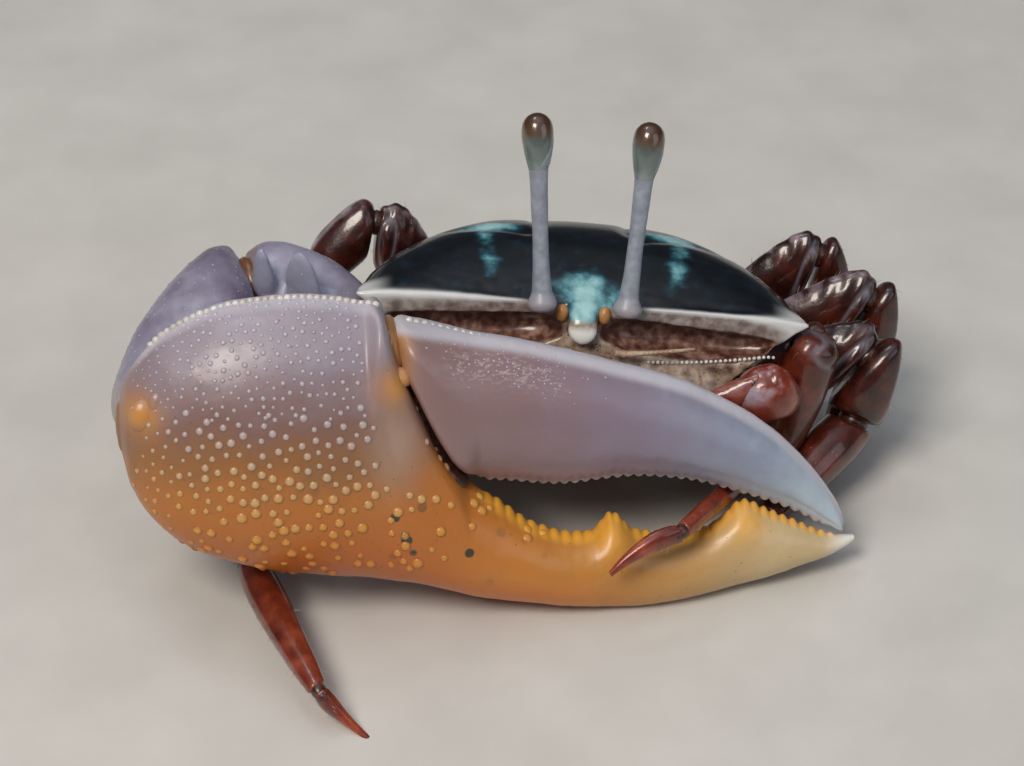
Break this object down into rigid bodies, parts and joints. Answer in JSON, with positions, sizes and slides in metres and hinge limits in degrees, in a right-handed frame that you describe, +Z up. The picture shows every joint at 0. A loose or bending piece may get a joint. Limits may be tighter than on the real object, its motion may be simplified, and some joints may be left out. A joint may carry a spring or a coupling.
{
  "type": "fiddler crab",
  "caption": "Male fiddler crab at life size, crouched on its folded legs with one great claw held across its face and its eyes raised on long stalks.",
  "frame": {"origin": "bottom centre of the bounding box, on the floor that the crab rests on", "axes": "+X along the carapace's width, to the right of someone facing the crab; +Y from the face to the tail; +Z up"},
  "size_m": [0.0526, 0.0402, 0.0282],
  "materials": {
    "back_shell": "polished dark shell, black-navy with teal patches",
    "belly_shell": "satin tan shell",
    "leg_shell": "glossy dark red-brown shell",
    "lilac_shell": "satin lilac-grey shell with pale beads",
    "amber_shell": "satin shell, lilac above to orange below, with pale pearls",
    "stalk_shell": "smooth lavender-grey skin",
    "cornea": "wet brown-grey cornea"
  },
  "bodies": {
    "root": {"abdomen": "belly_shell", "antenna_left": "belly_shell", "antenna_right": "belly_shell", "carapace": "back_shell", "eye_left": "cornea", "eye_right": "cornea", "eyestalk_left": "stalk_shell", "eyestalk_right": "stalk_shell", "leg_left_1_carpus": "leg_shell", "leg_left_1_dactyl": "leg_shell", "leg_left_1_merus": "leg_shell", "leg_left_1_propodus": "leg_shell", "leg_left_2_carpus": "leg_shell", "leg_left_2_dactyl": "leg_shell", "leg_left_2_merus": "leg_shell", "leg_left_2_propodus": "leg_shell", "leg_left_3_carpus": "leg_shell", "leg_left_3_dactyl": "leg_shell", "leg_left_3_merus": "leg_shell", "leg_left_3_propodus": "leg_shell", "leg_left_4_carpus": "leg_shell", "leg_left_4_dactyl": "leg_shell", "leg_left_4_merus": "leg_shell", "leg_left_4_propodus": "leg_shell", "leg_right_1_carpus": "leg_shell", "leg_right_1_dactyl": "leg_shell", "leg_right_1_merus": "leg_shell", "leg_right_1_propodus": "leg_shell", "leg_right_2_carpus": "leg_shell", "leg_right_2_dactyl": "leg_shell", "leg_right_2_merus": "leg_shell", "leg_right_2_propodus": "leg_shell", "leg_right_3_carpus": "leg_shell", "leg_right_3_dactyl": "leg_shell", "leg_right_3_merus": "leg_shell", "leg_right_3_propodus": "leg_shell", "leg_right_4_carpus": "leg_shell", "leg_right_4_dactyl": "leg_shell", "leg_right_4_merus": "leg_shell", "leg_right_4_propodus": "leg_shell", "major_carpus": "lilac_shell", "major_finger": "lilac_shell", "major_merus": "lilac_shell", "major_palm": "amber_shell", "minor_carpus": "leg_shell", "minor_finger": "leg_shell", "minor_merus": "leg_shell", "minor_palm": "leg_shell", "mouthpart_left": "belly_shell", "mouthpart_right": "belly_shell", "thorax": "belly_shell"}
  },
  "joints": []
}
